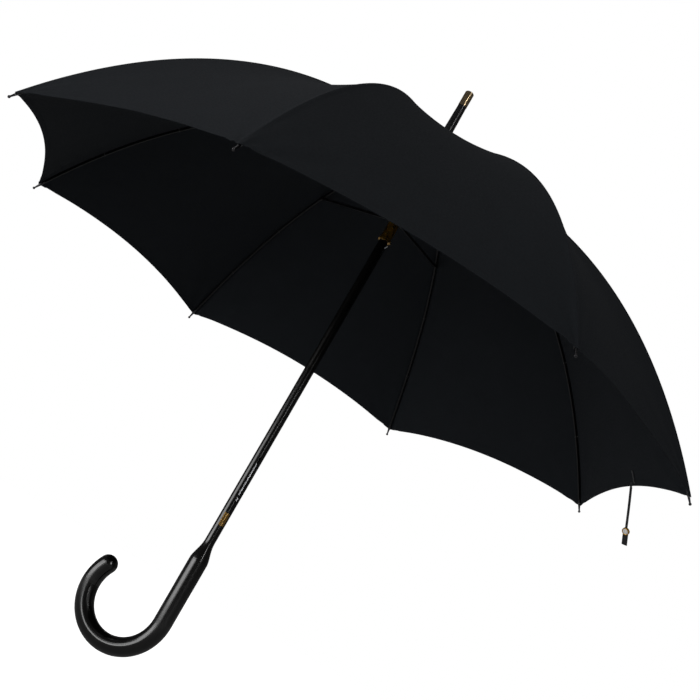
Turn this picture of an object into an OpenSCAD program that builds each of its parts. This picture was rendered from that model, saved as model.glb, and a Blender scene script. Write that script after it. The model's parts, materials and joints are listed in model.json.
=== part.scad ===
// Stick umbrella, open. The shaft stands along +Z and the origin is on the shaft's line,
// level with the lowest point of the crook. All lengths are in millimetres.

/* [Handle] */
// Diameter of the crook
crook_d = 25.5; // [22:0.5:28]
// Bend radius of the crook, to the middle of the wood
crook_bend_r = 57.5; // [50:0.5:62]
// How far the crook turns, in degrees
crook_turn = 211; // [180:1:225]
// Height where the grip starts to narrow
neck_low_z = 160; // [150:1:170]
// Height where the grip has narrowed to the shaft
neck_high_z = 190; // [180:1:210]

/* [Shaft] */
// Diameter of the shaft
shaft_d = 14; // [13:0.5:15]
// Height where the wood ends in the ferrule tube
shaft_top_z = 815; // [812:1:818]
// Height of the ferrule's end
ferrule_end_z = 916; // [905:1:925]

/* [Ribs] */
// Number of ribs
rib_count = 8; // [8:1:8]
// Length of a rib along its curve
rib_length = 615.9; // [600:0.1:630]
// Height of the pivots in the top notch
notch_z = 797.8; // [790:0.1:800]
// Width of a rib across its channel
rib_w = 2.6; // [2.4:0.1:3]
// Depth of a rib in the plane of its bend
rib_h = 3.2; // [3:0.1:3.6]

/* [Canopy] */
// Thickness of the cloth solids
cloth_t = 0.8; // [0.6:0.1:1.2]
// How far the cloth sinks between two ribs
cloth_sag = 12; // [2:1:15]
// Share of a rib's length that the hem rises by between two tips
hem_rise = 0.036; // [0.03:0.001:0.08]

/* [Closing strap] */
// Length of the strap with its end tab
strap_l = 100; // [70:1:110]
// Width of the end tab
tab_w = 8.5; // [7:0.5:10]
// Width of the narrow band
band_w = 3.8; // [3:0.1:4.4]
// How far the strap swings out from hanging straight down, in degrees
strap_lean = 45.8; // [0:0.1:50]

/* [Hidden] */

BLACK = [0.08, 0.08, 0.09];
CLOTH = [0.13, 0.13, 0.15];
BRASS = [0.83, 0.66, 0.33];
STEEL = [0.75, 0.75, 0.77];
eps = 0.01;
fit = 0.05;                                // radial clearance of a running fit
gap = 0.3;                                 // air between two bodies that only pass

crook_r = crook_d / 2;
crook_z = crook_bend_r + crook_r;
shaft_r = shaft_d / 2;
pivot_r = 10;                              // radius of both wire rings
wire_r = 0.6;
eye_r = 1.9;
eye_hole_r = 0.85;
slot_w = rib_w + 0.5;

// The rib's slope below the level, in degrees, at share s of its length.
function rib_slope(s) = -9.3 + 100.6 * s - 35.7 * s * s;
rib_steps = 48;
rib_ds = rib_length / rib_steps;
function rib_walk(i, p) =
    i >= rib_steps ? [p] :
    let (a = rib_slope((i + 0.5) / rib_steps))
    concat([p], rib_walk(i + 1, p + rib_ds * [cos(a), -sin(a)]));
rib_line = rib_walk(0, [pivot_r, notch_z]);
function rib_at(s) =
    let (q = min(max(s, 0), 1) * rib_steps, i = min(floor(q), rib_steps - 1))
    rib_line[i] + (q - i) * (rib_line[i + 1] - rib_line[i]);
function rib_out(s) = [sin(rib_slope(s)), cos(rib_slope(s))];

// The stretcher is as long as the rib from its pivot to the joint.
joint_s = 0.445;
joint_p = rib_at(joint_s);
joint_drop = notch_z - joint_p[1];
runner_z = notch_z - 2 * joint_drop;
stretcher_l = norm(joint_p - [pivot_r, notch_z]);
stretcher_rise = atan2(joint_p[1] - runner_z, joint_p[0] - pivot_r);

sleeve_bottom_z = runner_z - 36;
sleeve_top_z = runner_z - 6;
sleeve_r = shaft_r + 0.9;
notch_r = 12;

function rib_angle(k) = 225 - 45 * (k - 1);
rib_half_angle = 180 / rib_count;

module around(k) {
    rotate([0, 0, rib_angle(k)]) children();
}

// A flat outline in the plane of a rib, made w thick and centred on that plane.
module in_rib_plane(w) {
    rotate([90, 0, 0]) linear_extrude(w, center = true) children();
}

// ---- Handle and shaft ----

neck_steps = 14;
function neck_r(f) = crook_r + (shaft_r - crook_r) * (1 - cos(180 * pow(f, 0.85))) / 2;

module stick() {
    spigot_l = 22;
    color(BLACK) difference() {
        union() {
            rotate_extrude($fn = 64) polygon([
                [0, crook_z - eps],
                [crook_r, crook_z - eps],
                for (i = [0:neck_steps])
                    let (f = i / neck_steps)
                    [neck_r(f), neck_low_z + f * (neck_high_z - neck_low_z)],
                [shaft_r, shaft_top_z],
                [shaft_r - 2, shaft_top_z],
                [shaft_r - 2, shaft_top_z + spigot_l],
                [0, shaft_top_z + spigot_l]
            ]);
            translate([-crook_bend_r, 0, crook_z]) rotate([-90, 0, 0]) {
                rotate_extrude(angle = crook_turn, $fn = 96) translate([crook_bend_r, 0]) circle(crook_r, $fn = 48);
                rotate([0, 0, crook_turn]) translate([crook_bend_r, 0, 0]) sphere(crook_r, $fn = 48);
            }
        }
        spring_slot(top_spring_az, top_spring_z, top_spring_l, -1);
        spring_slot(bottom_spring_az, bottom_spring_z, bottom_spring_l, 1);
    }
}

module ferrule_tube() {
    base_r = shaft_r + 0.6;
    end_r = shaft_r - 0.8;
    color(BLACK) rotate_extrude($fn = 64) polygon([
        [shaft_r - 2, shaft_top_z],
        [base_r, shaft_top_z],
        [base_r, shaft_top_z + 6],
        [end_r, ferrule_end_z - cap_l],
        [shaft_r - 2, ferrule_end_z - cap_l]
    ]);
}

cap_l = 24;
cap_r = shaft_r - 0.5;
module ferrule_cap() {
    color(BRASS) union() {
        translate([0, 0, ferrule_end_z - cap_l]) cylinder(cap_l - 1.5, r = cap_r, $fn = 64);
        translate([0, 0, ferrule_end_z - 1.5]) cylinder(1.5, cap_r, cap_r - 1.2, $fn = 64);
        translate([0, 0, ferrule_end_z - cap_l - 10]) cylinder(10, r = shaft_r - 2, $fn = 64);
    }
}

// The cap that holds the middle of the canopy down on the top notch.
module crown_cap() {
    low = notch_z + 8.2;
    color(BLACK) rotate_extrude($fn = 64) polygon([
        [shaft_r, low],
        [19, low],
        [19.5, low + 1],
        [shaft_r + 3, low + 4.5],
        [shaft_r, low + 5]
    ]);
}

// ---- Notches and their wire rings ----

module slots(z, inner, outer, height) {
    for (k = [1:rib_count])
        around(k) translate([inner, -slot_w / 2, z - height / 2]) cube([outer - inner, slot_w, height]);
}

module ring(z) {
    translate([0, 0, z]) rotate_extrude($fn = 72) translate([pivot_r, 0]) circle(wire_r, $fn = 24);
}

module top_notch() {
    color(BLACK) difference() {
        union() {
            translate([0, 0, notch_z - 4]) cylinder(8, r = notch_r, $fn = 64);
            translate([0, 0, notch_z - 12]) cylinder(8, r = shaft_r + 1.4, $fn = 64);
        }
        translate([0, 0, notch_z - 13]) cylinder(18, r = shaft_r, $fn = 64);
        slots(notch_z, pivot_r - eye_r - 0.2, notch_r + 1, 9);
        ring(notch_z);
    }
}

module top_notch_wire() {
    color(STEEL) ring(notch_z);
}

module runner_notch() {
    color(BLACK) difference() {
        translate([0, 0, runner_z - 5]) cylinder(9, r = notch_r, $fn = 64);
        translate([0, 0, runner_z - 6]) cylinder(11, r = sleeve_r, $fn = 64);
        slots(runner_z, pivot_r - eye_r - 0.2, notch_r + 1, 12);
        ring(runner_z);
    }
}

module runner_wire() {
    color(STEEL) ring(runner_z);
}

// The sleeve slides on the shaft. Its lower end is rolled out to a bright rim.
module runner_sleeve() {
    rim_h = 3;
    rim_r = sleeve_r + 1.4;
    color(BRASS) difference() {
        union() {
            translate([0, 0, sleeve_bottom_z]) cylinder(runner_z + 4 - sleeve_bottom_z, r = sleeve_r, $fn = 64);
            translate([0, 0, sleeve_bottom_z]) cylinder(rim_h, r = rim_r, $fn = 64);
            translate([0, 0, sleeve_bottom_z + rim_h]) cylinder(2, rim_r, sleeve_r, $fn = 64);
        }
        translate([0, 0, sleeve_bottom_z - 1]) cylinder(runner_z + 6 - sleeve_bottom_z, r = shaft_r + fit, $fn = 64);
    }
}

// ---- Catch springs: a strip of steel in a slot, with a finger that stands proud of the shaft ----

spring_w = 1.6;
spring_out = 2.6;
top_spring_z = sleeve_bottom_z - 1;
top_spring_l = 34;
top_spring_az = 345;
bottom_spring_z = 251;
bottom_spring_l = 62;
bottom_spring_az = 308;

// The slot and the strip run from the finger at height z towards the fixed end, downwards if way is -1.
module spring_slot(az, z, l, way) {
    rotate([0, 0, az]) translate([-0.5, 0, z]) mirror([0, 0, way < 0 ? 1 : 0])
        translate([0, -spring_w / 2 - 0.2, -1]) cube([shaft_r + 1, spring_w + 0.4, l + 5]);
}

module spring(az, z, l, way) {
    color(STEEL) rotate([0, 0, az]) translate([0, 0, z]) mirror([0, 0, way < 0 ? 1 : 0])
        in_rib_plane(spring_w) polygon([
            [0, l + 3.5],
            [1.6, l + 3.5],
            [shaft_r - 0.8, l - 6],
            [shaft_r - 0.4, 9],
            [shaft_r + spring_out, 5],
            [shaft_r + spring_out, 0],
            [shaft_r - 2.5, 0],
            [shaft_r - 3, l - 8],
            [0, l - 1]
        ]);
}

module top_spring() {
    spring(top_spring_az, top_spring_z, top_spring_l, -1);
}

module bottom_spring() {
    spring(bottom_spring_az, bottom_spring_z, bottom_spring_l, 1);
}

// ---- Ribs, stretchers and tips ----

rib_end_s = 0.968;
module rib(k) {
    n = 40;
    function edge(s, side) = rib_at(s) + side * rib_h / 2 * rib_out(s);
    color(BLACK) around(k) difference() {
        in_rib_plane(rib_w) union() {
            polygon([
                for (i = [0:n]) edge(0.002 + i / n * (rib_end_s - 0.002), 1),
                for (i = [n:-1:0]) edge(0.002 + i / n * (rib_end_s - 0.002), -1)
            ]);
            translate([pivot_r, notch_z]) circle(eye_r, $fn = 32);
        }
        translate([pivot_r, 0, notch_z]) rotate([90, 0, 0]) cylinder(6, r = eye_hole_r, center = true, $fn = 32);
        translate([joint_p[0], 0, joint_p[1]]) rotate([90, 0, 0])
            cylinder(6, r = rivet_r + fit, center = true, $fn = 32);
    }
}

rivet_r = 0.9;
cheek_t = 0.9;
cheek_gap = rib_w + 0.4;
fork_w = cheek_gap + 2 * cheek_t;
fork_l = 22;

// A stretcher lies along +X here, from its eye in the runner at the origin to its fork at the joint.
module stretcher_bar() {
    bar_h = 3.6;
    difference() {
        union() {
            rotate([90, 0, 0]) linear_extrude(rib_w, center = true) union() {
                translate([0, -bar_h / 2]) square([stretcher_l - fork_l + 6, bar_h]);
                circle(eye_r, $fn = 32);
            }
            translate([stretcher_l - fork_l, -fork_w / 2, -bar_h / 2]) cube([fork_l, fork_w, bar_h]);
            translate([stretcher_l, 0, 0]) rotate([90, 0, 0]) cylinder(fork_w, r = bar_h / 2, center = true, $fn = 32);
        }
        rotate([90, 0, 0]) cylinder(8, r = eye_hole_r, center = true, $fn = 32);
        translate([stretcher_l - fork_l + 7, -cheek_gap / 2, -bar_h]) cube([fork_l, cheek_gap, 2 * bar_h]);
        translate([stretcher_l, 0, 0]) rotate([90, 0, 0]) cylinder(fork_w + 2, r = rivet_r, center = true, $fn = 32);
    }
}

module rivet() {
    head_r = 1.7;
    rotate([90, 0, 0]) cylinder(fork_w, r = rivet_r, center = true, $fn = 32);
    for (side = [-1, 1])
        translate([0, side * (fork_w / 2 + 0.3), 0]) rotate([90, 0, 0])
            cylinder(0.6, r = head_r, center = true, $fn = 32);
}

module stretcher(k) {
    around(k) translate([pivot_r, 0, runner_z]) rotate([0, -stretcher_rise, 0]) {
        color(BLACK) stretcher_bar();
        color(STEEL) translate([stretcher_l, 0, 0]) rivet();
    }
}

// The metal tip takes the end of the rib and the corner of the canopy, and ends in a ball.
module tip(k) {
    p = rib_at(rib_end_s);
    tip_r = 1.7;
    color(STEEL) around(k) translate([p[0], 0, p[1]]) rotate([0, 90 + rib_slope(1), 0]) {
        cylinder(10, r = tip_r, $fn = 32);
        translate([0, 0, 10]) cylinder(8, tip_r, 1.1, $fn = 32);
        translate([0, 0, 19]) sphere(1.9, $fn = 32);
    }
}

// ---- Canopy: each gore is two solids that meet at its fold line, half way between two ribs ----

cloth_lift = rib_h / 2 + 1.6;
cloth_in_s = 0.012;
cloth_end_s = 0.985;
cloth_rows = 20;
cloth_cols = 5;

// A point on the gore that starts at the rib in the XZ plane. u goes from 0 at that rib to 1 at the fold line,
// v goes from 0 at the crown to 1 at the hem, and h is the height above the rib's middle line.
function cloth_point(u, v, h) =
    let (
        sag_share = 1 - (1 - u) * (1 - u),
        s = cloth_in_s + v * (cloth_end_s - hem_rise * sag_share - cloth_in_s),
        c = rib_at(s),
        mid_r = c[0] * cos(rib_half_angle),
        lift = h - cloth_sag * sin(180 * s) * sag_share,
        az = u * rib_half_angle,
        out = rib_out(s),
        x = (1 - u) * c[0] + u * mid_r * cos(rib_half_angle),
        y = u * mid_r * sin(rib_half_angle)
    )
    [x + lift * out[0] * cos(az), y + lift * out[0] * sin(az), c[1] + lift * out[1]];

module half_gore(side) {
    nu = cloth_cols;
    nv = cloth_rows;
    layer = (nu + 1) * (nv + 1);
    function at(i, j, top) = top * layer + j * (nu + 1) + i;
    u_in = 0.002;
    u_out = 0.999;
    points = [
        for (top = [0, 1])
            for (j = [0:nv])
                for (i = [0:nu])
                    cloth_point(u_in + (u_out - u_in) * i / nu, j / nv, cloth_lift + top * cloth_t)
    ];
    skin = [
        for (j = [0:nv - 1])
            for (i = [0:nu - 1])
                each [
                    [at(i, j, 1), at(i, j + 1, 1), at(i + 1, j + 1, 1)],
                    [at(i, j, 1), at(i + 1, j + 1, 1), at(i + 1, j, 1)],
                    [at(i, j, 0), at(i + 1, j + 1, 0), at(i, j + 1, 0)],
                    [at(i, j, 0), at(i + 1, j, 0), at(i + 1, j + 1, 0)]
                ]
    ];
    ends = [
        for (i = [0:nu - 1])
            each [
                [at(i, 0, 0), at(i, 0, 1), at(i + 1, 0, 1)],
                [at(i, 0, 0), at(i + 1, 0, 1), at(i + 1, 0, 0)],
                [at(i, nv, 0), at(i + 1, nv, 1), at(i, nv, 1)],
                [at(i, nv, 0), at(i + 1, nv, 0), at(i + 1, nv, 1)]
            ]
    ];
    sides = [
        for (j = [0:nv - 1])
            each [
                [at(0, j, 0), at(0, j + 1, 1), at(0, j, 1)],
                [at(0, j, 0), at(0, j + 1, 0), at(0, j + 1, 1)],
                [at(nu, j, 0), at(nu, j, 1), at(nu, j + 1, 1)],
                [at(nu, j, 0), at(nu, j + 1, 1), at(nu, j + 1, 0)]
            ]
    ];
    mirror([0, side > 0 ? 0 : 1, 0]) polyhedron(points, [for (f = concat(skin, ends, sides)) [f[2], f[1], f[0]]]);
}

// Gore k lies between tip k and tip k + 1. Its left half is sewn to rib k and its right half to the next rib.
module gore_left(k) {
    color(CLOTH) around(k) half_gore(-1);
}

module gore_right(k) {
    color(CLOTH) around(k + 1) half_gore(1);
}

// ---- Closing strap, sewn inside the hem between tips 5 and 6, on the right half of gore 5 ----

strap_u = 0.84;
strap_az = 70;
strap_t = 1.2;
strap_inset = -2.5;
stud_drop = strap_l - 22;
stud_r = 5.5;
stud_post_r = 1.5;

// Puts the strap's top at the hem. The strap runs down its own -Z, and its flat side faces +X.
module at_strap() {
    p = cloth_point(strap_u, 0.99, strap_inset);
    around(strap_rib) translate(p) rotate([0, 0, strap_az - rib_angle(strap_rib)])
        rotate([0, -strap_lean, 0]) children();
}

strap_rib = 6;
module strap() {
    color(BLACK) at_strap() difference() {
        union() {
            translate([-strap_t / 2, -band_w / 2, -stud_drop]) cube([strap_t, band_w, stud_drop]);
            translate([-strap_t / 2, -tab_w / 2, -strap_l]) cube([strap_t, tab_w, strap_l - stud_drop + 5]);
        }
        translate([0, 0, -stud_drop]) rotate([0, 90, 0]) cylinder(6, r = stud_post_r, center = true, $fn = 32);
    }
}

module strap_stud() {
    face = strap_t / 2;
    color(STEEL) at_strap() translate([0, 0, -stud_drop]) rotate([0, 90, 0]) {
        cylinder(strap_t, r = stud_post_r, center = true, $fn = 32);
        translate([0, 0, face]) cylinder(1.2, stud_r, stud_r - 1, $fn = 48);
        translate([0, 0, -face - 1.2]) cylinder(1.2, stud_r - 1, stud_r, $fn = 48);
    }
}

stick();
ferrule_tube();
ferrule_cap();
crown_cap();
top_notch();
top_notch_wire();
runner_sleeve();
runner_notch();
runner_wire();
top_spring();
bottom_spring();
strap();
strap_stud();
for (k = [1:8]) {
    rib(k);
    stretcher(k);
    tip(k);
    gore_left(k);
    gore_right(k);
}
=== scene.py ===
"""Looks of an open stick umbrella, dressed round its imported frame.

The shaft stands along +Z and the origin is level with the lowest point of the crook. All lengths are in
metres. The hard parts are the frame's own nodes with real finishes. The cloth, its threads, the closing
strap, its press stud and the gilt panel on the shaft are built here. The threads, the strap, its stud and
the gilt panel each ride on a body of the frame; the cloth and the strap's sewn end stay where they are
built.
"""

from __future__ import annotations

import json
import logging
import math
from dataclasses import dataclass
from enum import Enum

import bpy
import numpy as np
from mathutils import Matrix, Vector


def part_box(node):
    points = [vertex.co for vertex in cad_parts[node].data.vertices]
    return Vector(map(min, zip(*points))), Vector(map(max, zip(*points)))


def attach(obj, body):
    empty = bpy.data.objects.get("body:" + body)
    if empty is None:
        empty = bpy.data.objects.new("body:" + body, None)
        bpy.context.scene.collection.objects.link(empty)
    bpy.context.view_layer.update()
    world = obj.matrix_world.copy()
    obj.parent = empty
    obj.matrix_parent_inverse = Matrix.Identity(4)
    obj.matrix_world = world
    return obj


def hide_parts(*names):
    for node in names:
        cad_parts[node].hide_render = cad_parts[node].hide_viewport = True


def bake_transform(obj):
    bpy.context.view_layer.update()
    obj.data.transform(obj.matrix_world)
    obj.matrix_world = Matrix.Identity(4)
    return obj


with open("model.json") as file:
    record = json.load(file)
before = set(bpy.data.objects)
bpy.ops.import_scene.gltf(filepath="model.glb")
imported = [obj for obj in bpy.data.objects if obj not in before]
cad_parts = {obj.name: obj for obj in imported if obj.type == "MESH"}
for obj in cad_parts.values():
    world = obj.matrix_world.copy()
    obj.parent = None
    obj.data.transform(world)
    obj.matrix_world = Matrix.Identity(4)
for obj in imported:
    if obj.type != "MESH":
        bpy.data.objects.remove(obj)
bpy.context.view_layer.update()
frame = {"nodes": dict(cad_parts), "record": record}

LOG = logging.getLogger("umbrella")
MM = 0.001

Colour = tuple[float, float, float, float]
Points = np.ndarray
Mesh = tuple[np.ndarray, list]
Place = tuple[float, float, float]


# ---------------------------------------------------------------- colours and nodes


def linear(code: str) -> Colour:
    """Turns an sRGB hex code into a linear colour.

    Args:
        code: six hex digits after a hash.

    Returns:
        The colour as four linear numbers, opaque.
    """
    parts = [int(code[i : i + 2], 16) / 255 for i in (1, 3, 5)]
    red, green, blue = (c / 12.92 if c <= 0.04045 else ((c + 0.055) / 1.055) ** 2.4 for c in parts)
    return red, green, blue, 1.0


class Finish:
    """A surface finish that makes one node material."""

    name = "finish"

    def __init__(self, name: str = "") -> None:
        """Starts an empty material with its shader and output.

        Args:
            name: the material's name, where the finish has none of its own.
        """
        self.name = name or self.name
        self.material = bpy.data.materials.new(self.name)
        self.material.use_nodes = True
        self.tree = self.material.node_tree
        self.tree.nodes.clear()
        self.shader = self.add("ShaderNodeBsdfPrincipled")
        self.output = self.add("ShaderNodeOutputMaterial", Surface=(self.shader, "BSDF"))

    def add(self, kind: str, settings: dict | None = None, **links: object) -> bpy.types.Node:
        """Adds a node with its settings, its values and its links.

        Args:
            kind: the node's type.
            settings: properties of the node, such as its operation.
            links: for each input, with spaces as underscores, a value or a (node, output) pair.

        Returns:
            The new node.
        """
        node = self.tree.nodes.new(kind)
        for key, value in (settings or {}).items():
            setattr(node, key, value)
        for key, value in links.items():
            self.join(node, key.replace("_", " "), value)
        return node

    def join(self, node: bpy.types.Node, socket: str | int, value: object) -> None:
        """Sets one input of a node to a value, or links it.

        Args:
            node: the node whose input it is.
            socket: the input's name, or its number where names repeat.
            value: a number, a colour, or a (node, output) pair.
        """
        target = node.inputs[socket]
        if isinstance(value, tuple) and value and isinstance(value[0], bpy.types.Node):
            self.tree.links.new(value[0].outputs[value[1]], target)
        else:
            target.default_value = value

    def shade(self, **values: object) -> None:
        """Sets or links inputs of the main shader, with spaces as underscores."""
        for key, value in values.items():
            self.join(self.shader, key.replace("_", " "), value)

    def maths(self, operation: str, a: object, b: object = 0.0) -> tuple:
        """Adds one step of arithmetic.

        Args:
            operation: the name of the operation.
            a: the first number or link.
            b: the second number or link.

        Returns:
            The link that carries the result.
        """
        node = self.add("ShaderNodeMath", {"operation": operation})
        self.join(node, 0, a)
        self.join(node, 1, b)
        return node, "Value"

    def noise(self, size_mm: float, detail: float = 3.0, place: tuple | None = None) -> tuple:
        """Adds noise whose blobs are about size_mm across.

        Args:
            size_mm: the width of a blob on the object.
            detail: how many finer layers it has.
            place: the link that carries the place, or None for the object's own.

        Returns:
            The link that carries the noise.
        """
        place = place or (self.add("ShaderNodeTexCoord"), "Object")
        node = self.add("ShaderNodeTexNoise", Vector=place, Scale=1000.0 / size_mm, Detail=detail)
        return node, "Fac"

    def spread(self, source: tuple, low: float, high: float, start: float = 0.3, end: float = 0.7) -> tuple:
        """Maps a link's values from start..end to low..high.

        Args:
            source: the link.
            low: what start becomes.
            high: what end becomes.
            start: the lower end of the values.
            end: their upper end.

        Returns:
            The link that carries the mapped values.
        """
        ends = {"From_Min": start, "From_Max": end, "To_Min": low, "To_Max": high}
        return self.add("ShaderNodeMapRange", Value=source, **ends), "Result"

    def tint(self, source: tuple, dark: str, light: str) -> tuple:
        """Mixes two colours by a link.

        Args:
            source: the link, 0 for dark and 1 for light.
            dark: the first colour, an sRGB hex code.
            light: the second colour, an sRGB hex code.

        Returns:
            The link that carries the colour.
        """
        node = self.add("ShaderNodeMix", {"data_type": "RGBA"}, Factor=source)
        self.join(node, 6, linear(dark))
        self.join(node, 7, linear(light))
        return node, 2

    def bump(self, height: tuple, depth_mm: float, strength: float = 1.0) -> None:
        """Raises the surface by a link's values.

        Args:
            height: the link.
            depth_mm: how high a value of 1 is.
            strength: how much of it shows.
        """
        node = self.add("ShaderNodeBump", Height=height, Distance=depth_mm * MM, Strength=strength)
        self.shade(Normal=(node, "Normal"))


# ---------------------------------------------------------------- finishes


class LacqueredWood(Finish):
    """Beech, steam-bent, stained black and dipped in gloss lacquer: deep black with long soft highlights."""

    name = "black_lacquered_beech"

    def __init__(self) -> None:
        """Builds the lacquer over a faint grain that runs along the stick."""
        super().__init__()
        place = self.add("ShaderNodeTexCoord")
        along = self.add("ShaderNodeMapping", Vector=(place, "Object"), Scale=(1.0, 1.0, 0.05))
        grain = self.noise(1.6, 4.0, (along, "Vector"))
        flow = self.noise(26.0, 2.0)
        self.shade(
            Base_Color=self.tint(grain, "#030303", "#080706"),
            Roughness=self.spread(flow, 0.16, 0.22),
            IOR=1.5,
            Specular_IOR_Level=0.45,
            Coat_Weight=0.15,
            Coat_Roughness=0.06,
            Coat_IOR=1.5,
        )
        # Lacquer flows out almost flat, but follows the pores a little.
        self.bump(grain, 0.006, 0.06)


class StoveEnamel(Finish):
    """Steel tube, stove enamelled black: satin gloss with a slight orange peel."""

    name = "black_stove_enamel"

    def __init__(self) -> None:
        """Builds the enamel."""
        super().__init__()
        peel = self.noise(1.8, 2.0)
        wear = self.noise(14.0, 5.0)
        self.shade(
            Base_Color=self.tint(wear, "#030304", "#08080a"),
            Roughness=self.spread(wear, 0.22, 0.3),
            Coat_Weight=0.15,
            Coat_Roughness=0.12,
        )
        self.bump(peel, 0.01, 0.08)


@dataclass(frozen=True)
class Plating:
    """What sets one bright metal apart from another."""

    name: str
    dark: str
    light: str
    roughness: float
    line_mm: float


class Metals(Enum):
    """The bright metals on the umbrella."""

    # Brass with a high zinc share, turned and lacquered: pale, slightly rose.
    PALE_BRASS = Plating("pale_turned_brass", "#9c8463", "#c9b592", 0.2, 0.35)
    # Yellow brass tube, drawn and polished: warm, mirror-like along its length.
    BRASS = Plating("polished_brass", "#c08a1e", "#e3ae3c", 0.27, 0.5)
    # Spring steel strip and wire, drawn bright: cool with fine lines.
    SPRING_STEEL = Plating("bright_spring_steel", "#a9abb0", "#dcdde0", 0.24, 0.3)
    # Small turned steel parts, black nickel plated: smoky, and bright only where they catch a lamp.
    BLACK_NICKEL = Plating("black_nickel_plate", "#2b2a2b", "#48474a", 0.24, 0.4)


class BrightMetal(Finish):
    """Turned, drawn or plated metal: coloured reflections broken by fine lines and a little tarnish."""

    def __init__(self, plating: Plating) -> None:
        """Builds the metal.

        Args:
            plating: the metal's colours, roughness and line spacing.
        """
        super().__init__(plating.name)
        place = self.add("ShaderNodeTexCoord")
        lines = self.add("ShaderNodeMapping", Vector=(place, "Object"), Scale=(0.04, 0.04, 1.0))
        turned = self.noise(plating.line_mm, 2.0, (lines, "Vector"))
        tarnish = self.noise(9.0, 3.0)
        self.shade(
            Base_Color=self.tint(tarnish, plating.dark, plating.light),
            Metallic=1.0,
            Roughness=self.spread(tarnish, plating.roughness - 0.03, plating.roughness + 0.06),
        )
        self.bump(turned, 0.003, 0.04)


class MouldedNylon(Finish):
    """Glass-filled nylon, moulded black: dull grey-black with a fine grain."""

    name = "moulded_black_nylon"

    def __init__(self) -> None:
        """Builds the nylon."""
        super().__init__()
        grain = self.noise(0.7, 3.0)
        self.shade(
            Base_Color=self.tint(self.noise(6.0), "#101112", "#1c1d1f"),
            Roughness=self.spread(grain, 0.42, 0.55),
        )
        self.bump(grain, 0.05, 0.5)


class CoatedSteel(Finish):
    """Folded spring steel, dip coated black: thin satin coat that is rubbed brighter in places."""

    name = "black_coated_steel"

    def __init__(self) -> None:
        """Builds the coat."""
        super().__init__()
        rubbed = self.noise(9.0, 6.0)
        self.shade(
            Base_Color=self.tint(rubbed, "#020203", "#070708"),
            Roughness=self.spread(rubbed, 0.4, 0.54),
            Specular_IOR_Level=0.3,
        )
        self.bump(self.noise(0.9, 2.0), 0.02, 0.4)


class CanopyCloth(Finish):
    """Polyester pongee, plain weave, piece dyed black: matt, with a faint bloom where it turns away."""

    name = "black_pongee"
    # Real threads are 0.2 mm apart. They are drawn 1.1 mm apart so that the weave shows.
    thread_mm = 1.1
    stitch_turn = 2094.0  # radians in a metre, which makes a stitch every 3 mm
    seam_stitch_mm = 2.6  # from the seam
    hem_stitch_mm = 6.5  # from the hem
    thread_half_mm = 0.5

    def __init__(self) -> None:
        """Builds the weave from the cloth's own coordinates, with sewn lines along the seam and the hem."""
        super().__init__()
        place = self.add("ShaderNodeUVMap")
        apart = self.add("ShaderNodeSeparateXYZ", Vector=(place, "UV"))
        across, up = (apart, "X"), (apart, "Y")
        turn = 2 * math.pi * 1000 / self.thread_mm
        weft = self.maths("SINE", self.maths("MULTIPLY", across, turn))
        warp = self.maths("SINE", self.maths("MULTIPLY", up, turn))
        weave = self.maths("MULTIPLY", weft, warp)
        slub = self.noise(40.0, 4.0, (place, "UV"))
        fine = self.noise(3.0, 3.0, (place, "UV"))
        tone = self.maths("ADD", self.maths("MULTIPLY", slub, 0.6), self.maths("MULTIPLY", fine, 0.4))
        sewn = self.maths("ADD", self.line(across, self.seam_stitch_mm), self.line(up, self.hem_stitch_mm))
        run = self.maths("MULTIPLY", self.maths("ADD", across, up), self.stitch_turn)
        dashes = self.maths("GREATER_THAN", self.maths("SINE", run), -0.5)
        stitches = self.maths("MULTIPLY", sewn, dashes)
        self.shade(
            Base_Color=self.tint(tone, "#131619", "#1a1d21"),
            Roughness=self.spread(fine, 0.72, 0.86),
            Specular_IOR_Level=0.12,
            Sheen_Weight=0.03,
            Sheen_Roughness=0.5,
            Sheen_Tint=linear("#8a8c96"),
        )
        deep = self.maths("MULTIPLY", stitches, 3.0)
        height = self.maths("SUBTRACT", self.maths("MULTIPLY", weave, 0.5), deep)
        self.bump(height, 0.06, 0.7)

    def line(self, distance: tuple, at_mm: float) -> tuple:
        """Gives 1 on a line of sewing along an edge, and 0 elsewhere.

        Args:
            distance: the link that carries the distance from the edge, in metres.
            at_mm: how far from the edge the line is.

        Returns:
            The link that carries it.
        """
        away = self.maths("ABSOLUTE", self.maths("SUBTRACT", distance, at_mm * MM))
        return self.maths("LESS_THAN", away, self.thread_half_mm * MM)


class WovenBand(Finish):
    """Narrow polyester band, woven with a rib across it: black with a dull silk shine."""

    name = "black_woven_band"
    # Real picks are 0.4 mm apart. They are drawn 0.9 mm apart so that they show.
    pick_mm = 0.9

    def __init__(self) -> None:
        """Builds the ribbed weave."""
        super().__init__()
        place = self.add("ShaderNodeUVMap")
        apart = self.add("ShaderNodeSeparateXYZ", Vector=(place, "UV"))
        picks = self.maths("SINE", self.maths("MULTIPLY", (apart, "Y"), 2 * math.pi * 1000 / self.pick_mm))
        self.shade(
            Base_Color=self.tint(self.noise(2.5, 4.0, (place, "UV")), "#0e0f11", "#212226"),
            Roughness=0.62,
            Specular_IOR_Level=0.3,
            Sheen_Weight=0.2,
            Sheen_Roughness=0.4,
        )
        self.bump(picks, 0.08, 0.8)


class SewingThread(Finish):
    """Black spun polyester thread: matt and slightly hairy."""

    name = "black_thread"

    def __init__(self) -> None:
        """Builds the thread."""
        super().__init__()
        twist = self.noise(0.5, 3.0)
        self.shade(Base_Color=self.tint(twist, "#0b0b0d", "#1c1c1f"), Roughness=0.8, Sheen_Weight=0.3)
        self.bump(twist, 0.05, 0.6)


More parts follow.
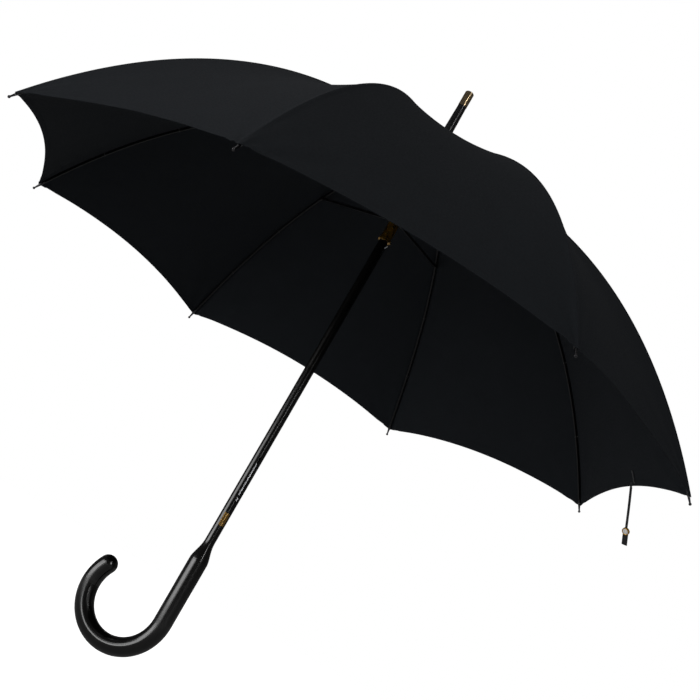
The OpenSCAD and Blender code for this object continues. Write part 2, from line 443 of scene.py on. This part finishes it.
class GiltPanel(Finish):
    """Gold foil, hot stamped on the lacquer: a plain lattice in a frame, slightly worn."""

    name = "gold_foil_lattice"
    lean = 2.6
    bars = 19.0

    def __init__(self) -> None:
        """Builds the lattice from the panel's own coordinates, which run from 0 to 1 each way."""
        super().__init__()
        place = self.add("ShaderNodeUVMap")
        apart = self.add("ShaderNodeSeparateXYZ", Vector=(place, "UV"))
        across, up = (apart, "X"), (apart, "Y")
        edge_x = self.beyond(across, 0.41)
        edge_y = self.beyond(up, 0.465)
        one, two = self.slanted("ADD", across, up), self.slanted("SUBTRACT", across, up)
        lattice = self.maths("GREATER_THAN", self.maths("MAXIMUM", one, two), 0.72)
        foil = self.maths("MAXIMUM", self.maths("MAXIMUM", edge_x, edge_y), lattice)
        worn = self.maths("GREATER_THAN", self.noise(1.2, 4.0), 0.36)
        gold = self.maths("MULTIPLY", foil, worn)
        self.shade(
            Base_Color=self.tint(gold, "#100f0e", "#c79a4a"),
            Metallic=gold,
            Roughness=self.spread(gold, 0.22, 0.34, 0.0, 1.0),
        )

    def beyond(self, place: tuple, half: float) -> tuple:
        """Gives 1 in the frame of the panel, and 0 inside it.

        Args:
            place: the link that carries the place, from 0 to 1.
            half: how far from the middle the frame starts.

        Returns:
            The link that carries it.
        """
        away = self.maths("ABSOLUTE", self.maths("SUBTRACT", place, 0.5))
        return self.maths("GREATER_THAN", away, half)

    def slanted(self, way: str, across: tuple, up: tuple) -> tuple:
        """Gives the waves of one set of slanted bars.

        Args:
            way: ADD or SUBTRACT, which sets the way they lean.
            across: the link that carries the place across.
            up: the link that carries the place up.

        Returns:
            The link that carries them.
        """
        lean = self.maths(way, across, self.maths("MULTIPLY", up, self.lean))
        return self.maths("SINE", self.maths("MULTIPLY", lean, self.bars))


class StudEnamel(Finish):
    """Press stud cap, pressed brass under fired white enamel: clean white with a hard gloss."""

    name = "white_stud_enamel"

    def __init__(self) -> None:
        """Builds the enamelled cap."""
        super().__init__()
        haze = self.noise(1.5, 4.0)
        self.shade(
            Base_Color=self.tint(haze, "#dedcd8", "#f4f3f1"),
            Roughness=self.spread(haze, 0.2, 0.32),
            IOR=1.5,
        )
        self.bump(haze, 0.01, 0.2)


# ---------------------------------------------------------------- mesh helpers


def new_piece(
    name: str, points: Points, faces: list, finish: Finish, uv: Points | None = None
) -> bpy.types.Object:
    """Makes a smooth mesh piece.

    Args:
        name: the piece's name.
        points: the corners, one row each.
        faces: the corner numbers of each face.
        finish: the piece's finish.
        uv: two surface coordinates for each corner, or None.

    Returns:
        The new object.
    """
    mesh = bpy.data.meshes.new(name)
    mesh.from_pydata([tuple(p) for p in points], [], [tuple(f) for f in faces])
    if uv is not None:
        layer = mesh.uv_layers.new(name="UVMap")
        corners = np.zeros(len(mesh.loops), np.int32)
        mesh.loops.foreach_get("vertex_index", corners)
        layer.data.foreach_set("uv", np.asarray(uv, np.float32)[corners].ravel())
    mesh.materials.append(finish.material)
    mesh.shade_smooth()
    mesh.update()
    piece = bpy.data.objects.new(name, mesh)
    bpy.context.scene.collection.objects.link(piece)
    return piece


def grid_faces(rows: int, columns: int, first: int = 0, closed: bool = False) -> list[tuple[int, ...]]:
    """Lists the faces of a grid of corners.

    Args:
        rows: corners one way.
        columns: corners the other way.
        first: the number of the first corner.
        closed: whether each row closes on itself.

    Returns:
        Four corner numbers for each face.
    """
    found = []
    for j in range(rows - 1):
        for i in range(columns if closed else columns - 1):
            a, b = first + j * columns + i, first + j * columns + (i + 1) % columns
            found.append((a, b, b + columns, a + columns))
    return found


def tube(path: Points, radius: float, sides: int = 8) -> Mesh:
    """Sweeps a round section along a path and closes its ends.

    Args:
        path: the points that the middle follows.
        radius: the section's radius.
        sides: how many corners the section has.

    Returns:
        The corners and the faces.
    """
    ahead = np.gradient(path, axis=0)
    ahead /= np.linalg.norm(ahead, axis=1)[:, None]
    up = np.cross(ahead[0], (0.3, 0.5, 0.8))
    up /= np.linalg.norm(up)
    rings = []
    for place, way in zip(path, ahead, strict=True):
        up = up - way * (up @ way)
        up /= np.linalg.norm(up)
        side = np.cross(way, up)
        turn = np.linspace(0, 2 * np.pi, sides, endpoint=False)[:, None]
        rings.append(place + radius * (np.cos(turn) * up + np.sin(turn) * side))
    faces = grid_faces(len(path), sides, closed=True)
    last = (len(path) - 1) * sides
    faces.append(tuple(reversed(range(sides))))
    faces.append(tuple(range(last, last + sides)))
    return np.concatenate(rings), faces


def joined(parts: list[Mesh]) -> Mesh:
    """Puts several meshes in one.

    Args:
        parts: the corners and faces of each.

    Returns:
        All corners and all faces.
    """
    points, faces, first = [], [], 0
    for some, theirs in parts:
        points.append(some)
        faces += [tuple(first + c for c in f) for f in theirs]
        first += len(some)
    return np.concatenate(points), faces


# ---------------------------------------------------------------- the shape of the canopy


@dataclass(frozen=True)
class RibCurve:
    """The bowed line of the ribs under the cloth, in one rib's own plane: distance out, then height."""

    length: float = 615.9 * MM
    pivot_r: float = 10 * MM
    pivot_z: float = 797.8 * MM
    steps: int = 480

    def slope(self, share: Points) -> Points:
        """Gives the slope below the level.

        Args:
            share: shares of the length.

        Returns:
            The slope there, in radians.
        """
        return np.radians(-9.3 + 100.6 * share - 35.7 * share**2)

    def line(self) -> Points:
        """Gives the points of the curve, evenly spaced from the pivot to the tip's end."""
        middle = (np.arange(self.steps) + 0.5) / self.steps
        step = self.length / self.steps
        way = np.stack([np.cos(self.slope(middle)), -np.sin(self.slope(middle))], axis=1) * step
        start = np.array([[self.pivot_r, self.pivot_z]])
        return np.concatenate([start, start + np.cumsum(way, axis=0)])

    def at(self, share: Points) -> tuple[Points, Points]:
        """Gives places on the curve.

        Args:
            share: shares of the length.

        Returns:
            The distances out and the heights.
        """
        line, marks = self.line(), np.linspace(0, 1, self.steps + 1)
        return np.interp(share, marks, line[:, 0]), np.interp(share, marks, line[:, 1])

    def outward(self, share: Points) -> tuple[Points, Points]:
        """Gives the outward normal of the curve, in the rib's plane.

        Args:
            share: shares of the length.

        Returns:
            Its parts outwards and upwards.
        """
        return np.sin(self.slope(share)), np.cos(self.slope(share))


CURVE = RibCurve()
RIB_COUNT = 8


def rib_angle(k: int) -> float:
    """Gives the direction of a rib.

    Args:
        k: the rib's number.

    Returns:
        The direction, in radians from +X.
    """
    return math.radians(225 - 45 * (k - 1))


def turned(points: Points, angle: float) -> Points:
    """Turns points about the shaft.

    Args:
        points: the points.
        angle: the turn, in radians.

    Returns:
        The turned points.
    """
    c, s = math.cos(angle), math.sin(angle)
    return points @ np.array([[c, s, 0], [-s, c, 0], [0, 0, 1]])


class Side(Enum):
    """The two halves of a gore, by the rib that each is sewn to."""

    LEFT = -1
    RIGHT = 1


@dataclass(frozen=True)
class Canopy:
    """Eight gores of cloth, each in two halves that meet at its fold line without a step."""

    lift: float = 2.5 * MM  # of the cloth's inner face over the middle of a rib
    thickness: float = 0.35 * MM
    sag: float = 12 * MM
    in_share: float = 0.012
    end_share: float = 0.985
    hem_rise: float = 0.036
    hem_width: float = 8 * MM
    hem_fold: float = 0.35 * MM
    rows: int = 96
    seam_height: float = 0.5 * MM
    seam_width: float = 4 * MM
    pucker: float = 0.22 * MM
    pucker_pitch: float = 13 * MM
    gather: float = 1.1 * MM
    gather_reach: float = 60 * MM
    swell: float = 0.9 * MM
    swell_reach: float = 220 * MM
    draw_in: float = 0.6 * MM  # how far the tip pulls the corner down

    def columns(self) -> Points:
        """Gives the places across a half, from the seam at 0 to the fold line at 1, closer at the seam."""
        by_the_seam = np.array([0, 0.004, 0.009, 0.015, 0.023, 0.034, 0.05])
        return np.concatenate([by_the_seam, np.linspace(0.075, 1, 19)])

    def heights(self) -> Points:
        """Gives the places along a half, from the crown at 0 to the hem at 1, closer at the hem."""
        hem = self.hem_width
        edge = 1 - np.array([hem * 1.35, hem, hem * 0.85, 2 * MM, 0]) / CURVE.length
        return np.concatenate([np.linspace(0, edge[0] - 0.012, self.rows), edge])

    def surface(self, u: Points, v: Points, over: Points, seed: int) -> tuple[Points, Points]:
        """Gives places on the half that is sewn to the rib in the XZ plane and lies on its +Y side.

        Args:
            u: place across, from 0 at the seam to 1 at the fold line.
            v: place along, from 0 at the crown to 1 at the hem.
            over: height above the cloth's inner face.
            seed: which half it is, so that no two are wrinkled alike.

        Returns:
            The points, and the distances from the seam and from the hem, in metres.
        """
        half = math.pi / RIB_COUNT
        hang = 1 - (1 - u) ** 2
        end = self.end_share - self.hem_rise * hang
        s = self.in_share + v * (end - self.in_share)
        r, z = CURVE.at(s)
        out_r, out_z = CURVE.outward(s)
        width = r * math.sin(half) * u
        up = (end - s) * CURVE.length
        rise = self.lift + over - self.sag * np.sin(math.pi * s) * hang
        rise = rise + self.wrinkles(u, s, width, up, seed)
        rise = rise - self.draw_in * np.exp(-np.hypot(width, up) / (30 * MM))
        angle = u * half
        x = (1 - u) * r + u * r * math.cos(half) ** 2 + rise * out_r * np.cos(angle)
        y = u * r * math.cos(half) * math.sin(half) + rise * out_r * np.sin(angle)
        return np.stack([x, y, z + rise * out_z], axis=-1), np.stack([width, up], axis=-1)

    def wrinkles(self, u: Points, s: Points, width: Points, up: Points, seed: int) -> Points:
        """Gives the small rises of the cloth: the felled seam, its puckers and the gathers at the tip.

        Args:
            u: place across, from 0 at the seam to 1 at the fold line.
            s: share of the rib's length.
            width: distance from the seam.
            up: distance from the hem.
            seed: which half it is.

        Returns:
            The rise at each place.
        """
        rng = np.random.default_rng(seed)
        phase = rng.uniform(0, 2 * math.pi, 4)
        keep = 1 - np.clip((u - 0.75) / 0.2, 0, 1) ** 2  # the two halves of a gore meet smoothly
        seam = self.seam_height * np.exp(-((width / self.seam_width) ** 4))
        wave = np.sin(2 * math.pi * up / self.pucker_pitch + phase[0])
        pucker = self.pucker * wave * np.exp(-width / (10 * MM)) * np.clip(width / self.seam_width, 0, 1)
        away = np.hypot(width, up) + 1 * MM
        fan = np.arctan2(width, up + 12 * MM)
        rays = np.sin(11 * fan + phase[1]) * np.clip(fan / 0.15, 0, 1)
        gather = self.gather * rays * np.exp(-away / self.gather_reach) * np.clip(away / (12 * MM), 0, 1)
        fade = np.exp(-away / self.swell_reach) * np.clip(fan / 0.3, 0, 1)
        broad = self.swell * np.sin(3.2 * fan + phase[2]) * fade
        return seam + (pucker + gather + broad) * keep

    def half(self, gore: int, side: Side, finish: Finish, extras: tuple = ()) -> bpy.types.Object:
        """Builds one half of a gore and hangs it between its rib and its fold line.

        Args:
            gore: the gore's number.
            side: which half.
            finish: the cloth.
            extras: pieces that are sewn on it; not used.

        Returns:
            The piece.
        """
        rib = gore if side is Side.LEFT else gore % RIB_COUNT + 1
        u, v = np.meshgrid(self.columns(), self.heights())
        seed = 10 * rib + (side is Side.LEFT)
        hem = np.clip((v - self.heights()[-4]) / 0.004, 0, 1) * self.hem_fold
        inner, uv = self.surface(u, v, -hem, seed)
        outer, _ = self.surface(u, v, self.thickness + hem * 0.4, seed)
        rows, columns = u.shape
        count = rows * columns
        points = np.concatenate([inner.reshape(-1, 3), outer.reshape(-1, 3)])
        inside = grid_faces(rows, columns)
        faces = [tuple(reversed(f)) for f in inside] + [tuple(count + c for c in f) for f in inside]
        faces += self.rim(rows, columns)
        if side is Side.LEFT:
            points[:, 1] *= -1
            faces = [tuple(reversed(f)) for f in faces]
        points = turned(points, rib_angle(rib))
        name = f"cloth_{gore}_{side.name.lower()}"
        piece = new_piece(name, points, faces, finish, np.concatenate([uv.reshape(-1, 2)] * 2))
        self.sharpen_rim(piece)
        node = f"gore_{gore}_{side.name.lower()}"
        self.hang(piece, node, rib, side)
        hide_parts(node)
        self.flat_width()
        self.flat_area()
        return piece

    def strap_root(self, gore: int, across: float, finish: Finish) -> bpy.types.Object:
        """Builds the sewn end of the closing strap, flat on the inside of the right half of a gore.

        Args:
            gore: the gore's number.
            across: its place across the half, from 0 at the seam to 1 at the fold line.
            finish: the strap's band.

        Returns:
            The piece.
        """
        rib = gore % RIB_COUNT + 1
        u, v = np.meshgrid(across + np.linspace(-0.0105, 0.0105, 5), np.linspace(0.962, 0.994, 9))
        seed = 10 * rib
        far, uv = self.surface(u, v, -0.15 * MM, seed)
        near, _ = self.surface(u, v, -1.1 * MM, seed)
        rows, columns = u.shape
        count = rows * columns
        points = np.concatenate([near.reshape(-1, 3), far.reshape(-1, 3)])
        one = grid_faces(rows, columns)
        faces = one + [tuple(reversed([count + c for c in f])) for f in one]
        faces += [tuple(reversed(f)) for f in self.rim(rows, columns)]
        both_uv = np.concatenate([uv.reshape(-1, 2)] * 2)
        piece = new_piece("strap_root", turned(points, rib_angle(rib)), faces, finish, both_uv)
        self.hang(piece, f"gore_{gore}_right", rib, Side.RIGHT)
        return piece

    def rim(self, rows: int, columns: int) -> list[tuple[int, ...]]:
        """Lists the faces that join the inner layer to the outer one all round.

        Args:
            rows: corners along the half.
            columns: corners across it.

        Returns:
            Four corner numbers for each face.
        """
        count = rows * columns
        right = [j * columns + columns - 1 for j in range(rows)]
        left = [j * columns for j in range(rows)]
        top, bottom = list(range(columns)), list(range(count - columns, count))
        loop = top + right[1:] + bottom[::-1][1:] + left[::-1][1:-1]
        return [(a, b, b + count, a + count) for a, b in zip(loop, loop[1:] + loop[:1], strict=True)]

    def sharpen_rim(self, piece: bpy.types.Object) -> None:
        """Keeps the cut edges of the cloth crisp, so that its faces shade as one smooth sheet.

        Args:
            piece: the cloth.
        """
        piece.data.set_sharp_from_angle(angle=math.radians(55))

    def hang(self, piece: bpy.types.Object, body: str, rib: int, side: Side) -> None:
        """Bakes the cloth's place into its mesh, so that it stays where it is built and does not follow its
        rib.

        Args:
            piece: the cloth.
            body: the body of the half gore; not used.
            rib: the number of its rib; not used.
            side: which half it is; not used.
        """
        reach = CURVE.at(np.array([self.end_share]))[0][0] * math.sin(math.pi / RIB_COUNT)
        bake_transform(piece)

    def flat_width(self) -> float:
        """Gives half a gore's cut width at the hem."""
        out = CURVE.at(np.array([self.end_share]))[0][0]
        return float(out * math.sin(math.pi / RIB_COUNT)) + 2 * self.seam_width

    def flat_area(self) -> float:
        """Gives half a gore's cut area, summed in strips along it."""
        u = np.linspace(0, 1, 60)[None, :]
        strip_count = 199
        r, _ = CURVE.at(np.linspace(self.in_share, self.end_share, strip_count + 1))
        step = CURVE.length * (self.end_share - self.in_share) / strip_count
        strips = np.trapz(r * math.sin(math.pi / RIB_COUNT), dx=step)
        notch = (self.hem_rise * (1 - (1 - u) ** 2)).mean() * CURVE.length * self.flat_width()
        return float(strips - notch)


# ---------------------------------------------------------------- threads


@dataclass(frozen=True)
class Threads:
    """The thread that ties the cloth to each rib, and that whips it to each tip."""

    radius: float = 0.28 * MM
    tie_shares: tuple[float, ...] = (0.31, 0.62, 0.81)
    tie_turns: int = 3
    tie_high: float = 2.25 * MM
    tie_wide: float = 1.75 * MM
    whip_turns: int = 6
    whip_share: float = 0.97
    whip_radius: float = 2.0 * MM
    whip_start: float = 4 * MM

    def ties(self, k: int, finish: Finish) -> bpy.types.Object:
        """Wraps thread round a rib and through the seam above it, in three places.

        Args:
            k: the rib's number.
            finish: the thread.

        Returns:
            The piece.
        """
        coils = []
        for share in self.tie_shares:
            r, z = (float(a[0]) for a in CURVE.at(np.array([share])))
            slope = float(CURVE.slope(np.array(share)))
            along = np.array([math.cos(slope), 0, -math.sin(slope)])
            out = np.array([math.sin(slope), 0, math.cos(slope)])
            turn = np.linspace(0, 2 * math.pi * self.tie_turns, 16 * self.tie_turns + 1)[:, None]
            middle = np.array([r, 0, z]) + out * 0.35 * MM
            lie = (turn / (2 * math.pi) - self.tie_turns / 2) * 2.1 * self.radius
            wrap = np.cos(turn) * out * self.tie_high + np.sin(turn) * np.array([0, self.tie_wide, 0])
            path = middle + along * lie + wrap
            coils.append(tube(path, self.radius, 6))
        points, faces = joined(coils)
        piece = new_piece(f"rib_ties_{k}", turned(points, rib_angle(k)), faces, finish)
        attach(piece, f"rib_{k}")
        return piece

    def whipping(self, k: int, finish: Finish) -> bpy.types.Object:
        """Winds thread round the root of a tip, where the corner of the canopy is sewn on.

        Args:
            k: the tip's number.
            finish: the thread.

        Returns:
            The piece.
        """
        share = np.array([self.whip_share])
        r, z = (float(a[0]) for a in CURVE.at(share))
        slope = float(CURVE.slope(np.array(1.0)))
        along = np.array([math.cos(slope), 0, -math.sin(slope)])
        out = np.array([math.sin(slope), 0, math.cos(slope)])
        turn = np.linspace(0, 2 * math.pi * self.whip_turns, 16 * self.whip_turns + 1)[:, None]
        lie = turn / (2 * math.pi) * 2.1 * self.radius + self.whip_start
        wrap = self.whip_radius * (np.cos(turn) * out + np.sin(turn) * np.array([0, 1, 0]))
        path = np.array([r, 0, z]) + along * lie + wrap
        points, faces = tube(path, self.radius, 6)
        piece = new_piece(f"tip_whipping_{k}", turned(points, rib_angle(k)), faces, finish)
        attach(piece, f"rib_{k}")
        return piece


# ---------------------------------------------------------------- strap


@dataclass(frozen=True)
class Strap:
    """The closing strap: a narrow band folded round a press stud, with a stitched end tab."""

    lean: float = math.radians(45.8)
    azimuth: float = math.radians(70)
    length: float = 100 * MM
    stud_drop: float = 78 * MM
    band_w: float = 3.8 * MM
    tab_w: float = 8.5 * MM
    thickness: float = 1.0 * MM
    turn_in: float = 1.5 * MM
    gore: int = 5
    across: float = 0.84
    stud_sides: int = 40

    def matrix(self) -> Matrix:
        """Gives the strap's own frame: its top at the origin, -Z down it and +X out of its flat side."""
        stud_low, stud_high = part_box("strap_stud")
        stud = (stud_low + stud_high) / 2
        turn = Matrix.Rotation(self.azimuth, 4, "Z") @ Matrix.Rotation(-self.lean, 4, "Y")
        top = stud - turn @ Vector((0, 0, -self.stud_drop))
        return Matrix.Translation(top) @ turn

    def width_at(self, drop: Points) -> Points:
        """Gives the band's width, with the shoulder where the tab starts.

        Args:
            drop: distances down the band.

        Returns:
            The width at each.
        """
        shoulder = np.clip((drop - (self.stud_drop - 2 * MM)) / (3 * MM), 0, 1)
        neck = np.clip(drop / (8 * MM), 0.55, 1)
        return self.band_w * neck * (1 - shoulder) + self.tab_w * shoulder

    def band(self, finish: Finish) -> bpy.types.Object:
        """Builds the band and tab as one folded strip.

        Args:
            finish: the woven band.

        Returns:
            The piece.
        """
        upper = np.linspace(0, self.stud_drop - 3 * MM, 30)
        drops = np.concatenate([upper, np.linspace(self.stud_drop - 2 * MM, self.length, 16)])
        across = np.linspace(-0.5, 0.5, 9)
        rows = []
        for side in (1, -1):
            for drop in drops:
                w = float(self.width_at(np.array(drop)))
                edge = 1 - 0.75 * (2 * np.abs(across)) ** 6
                tab = float(np.clip((drop - self.stud_drop) / (4 * MM), 0, 1))
                welt = 0.18 * MM * tab * np.exp(-(((np.abs(across) - 0.4) / 0.05) ** 2))
                x = side * (self.thickness / 2 * edge - welt)
                bow = 0.7 * MM * math.sin(math.pi * min(drop / self.stud_drop, 1)) * (1 - tab)
                rows.append(np.stack([x + bow, across * w * side, np.full(9, -drop)], axis=1))
        points = np.concatenate(rows)
        half = len(drops) * 9
        faces = [tuple(reversed(f)) for f in grid_faces(len(drops), 9)]
        faces += [tuple(reversed(f)) for f in grid_faces(len(drops), 9, first=half)]
        for j in range(len(drops) - 1):
            a, b = j * 9, (j + 1) * 9
            faces.append((a, b, half + b + 8, half + a + 8))
            faces.append((a + 8, half + a, half + b, b + 8))
        for i in range(8):
            faces.append((i, i + 1, half + 8 - i - 1, half + 8 - i))
            low = (len(drops) - 1) * 9
            faces.append((low + i + 1, low + i, half + low + 8 - i, half + low + 8 - i - 1))
        uv = np.stack([points[:, 1], points[:, 2]], axis=1)
        piece = new_piece("strap_band", points, faces, finish, uv)
        piece.data.transform(self.matrix())
        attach(piece, "strap")
        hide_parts("strap")
        return piece

    def turned_pair(self, name: str, outline: Points, finish: Finish) -> bpy.types.Object:
        """Turns an outline about the stud's axis, once for each face of the strap.

        Args:
            name: the piece's name.
            outline: the radius and the height above the middle of the strap, one row for each corner.
            finish: the piece's finish.

        Returns:
            The piece.
        """
        turn = np.linspace(0, 2 * math.pi, self.stud_sides, endpoint=False)
        parts = []
        for way in (1, -1):
            rings = [
                np.stack([np.full_like(turn, way * h), r * np.cos(turn), r * np.sin(turn) * way], axis=1)
                for r, h in outline
            ]
            parts.append((np.concatenate(rings), grid_faces(len(outline), self.stud_sides, closed=True)))
        points, faces = joined(parts)
        piece = new_piece(name, points + np.array([0, 0, -self.stud_drop]), faces, finish)
        piece.data.transform(self.matrix())
        return piece

    def stud(self, finish: Finish) -> bpy.types.Object:
        """Presses the stud's two caps, each a shallow dome.

        Args:
            finish: the enamel.

        Returns:
            The piece.
        """
        outline = [(0.0, 1.75), (1.4, 1.74), (2.8, 1.68), (3.7, 1.52), (4.2, 1.3), (4.3, 0.7), (0.0, 0.7)]
        piece = self.turned_pair("strap_press_stud", np.array(outline) * MM, finish)
        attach(piece, "strap")
        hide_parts("strap_stud")
        return piece

    def stud_ring(self, finish: Finish) -> bpy.types.Object:
        """Rolls the brass rims that hold the two caps.

        Args:
            finish: the brass.

        Returns:
            The piece.
        """
        outline = [(4.1, 0.6), (4.1, 1.35), (4.5, 1.75), (5.1, 1.75), (5.5, 1.3), (5.5, 0.6)]
        piece = self.turned_pair("strap_stud_rims", np.array(outline) * MM, finish)
        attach(piece, "strap")
        return piece


# ---------------------------------------------------------------- grip


@dataclass(frozen=True)
class GripPanel:
    """A small gilt panel on the shaft just above the grip, with a plain lattice."""

    radius: float = 7.06 * MM
    azimuth: float = math.radians(304)
    half_angle: float = math.radians(30)
    low: float = 214 * MM
    high: float = 232 * MM

    def build(self, finish: Finish) -> bpy.types.Object:
        """Lays the foil on the curve of the shaft.

        Args:
            finish: the foil.

        Returns:
            The piece.
        """
        rows, columns = 8, 16
        angles = self.azimuth + np.linspace(-self.half_angle, self.half_angle, columns)
        heights = np.linspace(self.low, self.high, rows)
        a, h = np.meshgrid(angles, heights)
        points = np.stack([self.radius * np.cos(a), self.radius * np.sin(a), h], axis=-1).reshape(-1, 3)
        u, v = np.meshgrid(np.linspace(0, 1, columns), np.linspace(0, 1, rows))
        uv = np.stack([u, v], axis=-1).reshape(-1, 2)
        piece = new_piece("gilt_panel", points, grid_faces(rows, columns), finish, uv)
        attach(piece, "stick")
        return piece


# ---------------------------------------------------------------- hard parts


class HardParts:
    """The frame's own nodes, each with the finish of its material slot."""

    def __init__(self) -> None:
        """Makes one finish for each slot."""
        steel = BrightMetal(Metals.SPRING_STEEL.value)
        self.finishes: dict[str, Finish] = {
            "lacquered_wood": LacqueredWood(),
            "black_tube": StoveEnamel(),
            "pale_brass": BrightMetal(Metals.PALE_BRASS.value),
            "brass": BrightMetal(Metals.BRASS.value),
            "notch_black": MouldedNylon(),
            "wire": steel,
            "spring_steel": steel,
            "rib_black": CoatedSteel(),
            "tip_metal": BrightMetal(Metals.BLACK_NICKEL.value),
            "canopy_cloth": CanopyCloth(),
            "strap_cloth": WovenBand(),
            "stud_metal": StudEnamel(),
        }

    def dress(self) -> None:
        """Gives every carried node its finish."""
        for part in frame["record"]["subparts"]:
            node = frame["nodes"][part["node"]]
            node.data.materials.clear()
            node.data.materials.append(self.finishes[part["material_slot"]].material)
            LOG.info("dressed %s as %s", part["node"], part["material_slot"])


# ---------------------------------------------------------------- studio


@dataclass(frozen=True)
class Studio:
    """A pale floor, plain soft light and the camera."""

    eye: tuple[float, float, float] = (0.56031, -1.58662, 0.13953)
    ahead: tuple[float, float, float] = (-0.30676, 0.92795, 0.21168)
    up: tuple[float, float, float] = (-0.41525, -0.3306, 0.84751)
    lens: float = 65.31
    floor_half: float = 12.0
    fill: float = 0.08

    def camera(self) -> None:
        """Sets up the camera."""
        data = bpy.data.cameras.new("camera")
        data.lens, data.sensor_width = self.lens, 36.0
        data.clip_start, data.clip_end = 0.01, 100
        camera = bpy.data.objects.new("camera", data)
        back = -Vector(self.ahead).normalized()
        right = Vector(self.up).cross(back).normalized()
        top = back.cross(right)
        turn = Matrix((right, top, back)).transposed().to_4x4()
        camera.matrix_world = Matrix.Translation(self.eye) @ turn
        bpy.context.scene.collection.objects.link(camera)
        bpy.context.scene.camera = camera

    def floor(self) -> None:
        """Lays the floor, level with the bottom of the crook."""
        half = self.floor_half
        corners = np.array([(-half, -half, 0), (half, -half, 0), (half, half, 0), (-half, half, 0)])
        paper = Finish("white_paper")
        paper.shade(
            Base_Color=linear("#e0e0e0"),
            Roughness=0.95,
            Specular_IOR_Level=0.0,
            Emission_Color=linear("#ffffff"),
            Emission_Strength=0.09,
        )
        glow = paper.add("ShaderNodeEmission", Color=linear("#ffffff"), Strength=1.0)
        seen = paper.add("ShaderNodeLightPath")
        both = paper.add("ShaderNodeAddShader")
        paper.join(both, 0, (paper.shader, "BSDF"))
        paper.join(both, 1, (glow, "Emission"))
        pick = paper.add("ShaderNodeMixShader", Fac=(seen, "Is Camera Ray"))
        paper.join(pick, 1, (paper.shader, "BSDF"))
        paper.join(pick, 2, (both, "Shader"))
        paper.join(paper.output, "Surface", (pick, "Shader"))
        new_piece("floor", corners, [(0, 1, 2, 3)], paper)

    def world(self) -> None:
        """Makes the surroundings: white where they are seen, and a dim room for what they light."""
        world = bpy.data.worlds.new("studio")
        bpy.context.scene.world = world
        world.use_nodes = True
        nodes, links = world.node_tree.nodes, world.node_tree.links
        nodes.clear()
        seen = nodes.new("ShaderNodeBackground")
        seen.inputs["Strength"].default_value = 1.0
        fill = nodes.new("ShaderNodeBackground")
        fill.inputs["Strength"].default_value = self.fill
        ray = nodes.new("ShaderNodeLightPath")
        mix = nodes.new("ShaderNodeMixShader")
        output = nodes.new("ShaderNodeOutputWorld")
        for shader in (seen, fill):
            shader.inputs["Color"].default_value = (1, 1, 1, 1)
        links.new(ray.outputs["Is Camera Ray"], mix.inputs[0])
        links.new(fill.outputs[0], mix.inputs[1])
        links.new(seen.outputs[0], mix.inputs[2])
        links.new(mix.outputs[0], output.inputs["Surface"])

    def lamp(self, name: str, place: Place, size: tuple, power: float, target: Place = (0, 0, 0.5)) -> None:
        """Hangs one soft box.

        Args:
            name: the lamp's name.
            place: where it hangs.
            size: its width and height.
            power: its power in watts.
            target: what it faces.
        """
        data = bpy.data.lights.new(name, "AREA")
        data.shape, data.size, data.size_y = "RECTANGLE", *size
        data.energy = power
        lamp = bpy.data.objects.new(name, data)
        way = Vector(place) - Vector(target)
        lamp.matrix_world = Matrix.Translation(place) @ way.to_track_quat("Z", "Y").to_matrix().to_4x4()
        bpy.context.scene.collection.objects.link(lamp)

    def build(self) -> None:
        """Sets up the whole studio."""
        bpy.context.scene.view_settings.view_transform = "Standard"
        self.camera()
        self.floor()
        self.world()
        self.lamp("soft_box", (-1.55, -1.75, 0.34), (2.0, 0.62), 19, (0, 0, 0.2))
        self.lamp("strip_box", (1.8, -1.7, 1.3), (0.08, 1.9), 12, (0, 0, 0.9))
        self.lamp("low_box", (-0.9, -1.6, 0.05), (1.3, 0.5), 5, (0, 0, 0.8))
        self.lamp("top", (-0.9, -0.9, 3.0), (2.0, 2.0), 16)


def main() -> None:
    """Builds the studio and every piece in order, and reports each."""
    logging.basicConfig(level=logging.INFO, format="%(name)s: %(message)s")
    Studio().build()
    hard = HardParts()
    hard.dress()
    canopy, threads, strap = Canopy(), Threads(), Strap()
    cloth, thread = hard.finishes["canopy_cloth"], SewingThread()
    root = canopy.strap_root(strap.gore, strap.across, hard.finishes["strap_cloth"])
    LOG.info("made %s", root.name)
    for gore in range(1, RIB_COUNT + 1):
        for side in Side:
            sewn_on = (root,) if gore == strap.gore and side is Side.RIGHT else ()
            LOG.info("made %s", canopy.half(gore, side, cloth, sewn_on).name)
    for k in range(1, RIB_COUNT + 1):
        LOG.info("made %s", threads.ties(k, thread).name)
        LOG.info("made %s", threads.whipping(k, thread).name)
    LOG.info("made %s", strap.band(hard.finishes["strap_cloth"]).name)
    LOG.info("made %s", strap.stud(hard.finishes["stud_metal"]).name)
    LOG.info("made %s", strap.stud_ring(hard.finishes["brass"]).name)
    LOG.info("made %s", GripPanel().build(GiltPanel()).name)


if __name__ == "__main__":
    main()
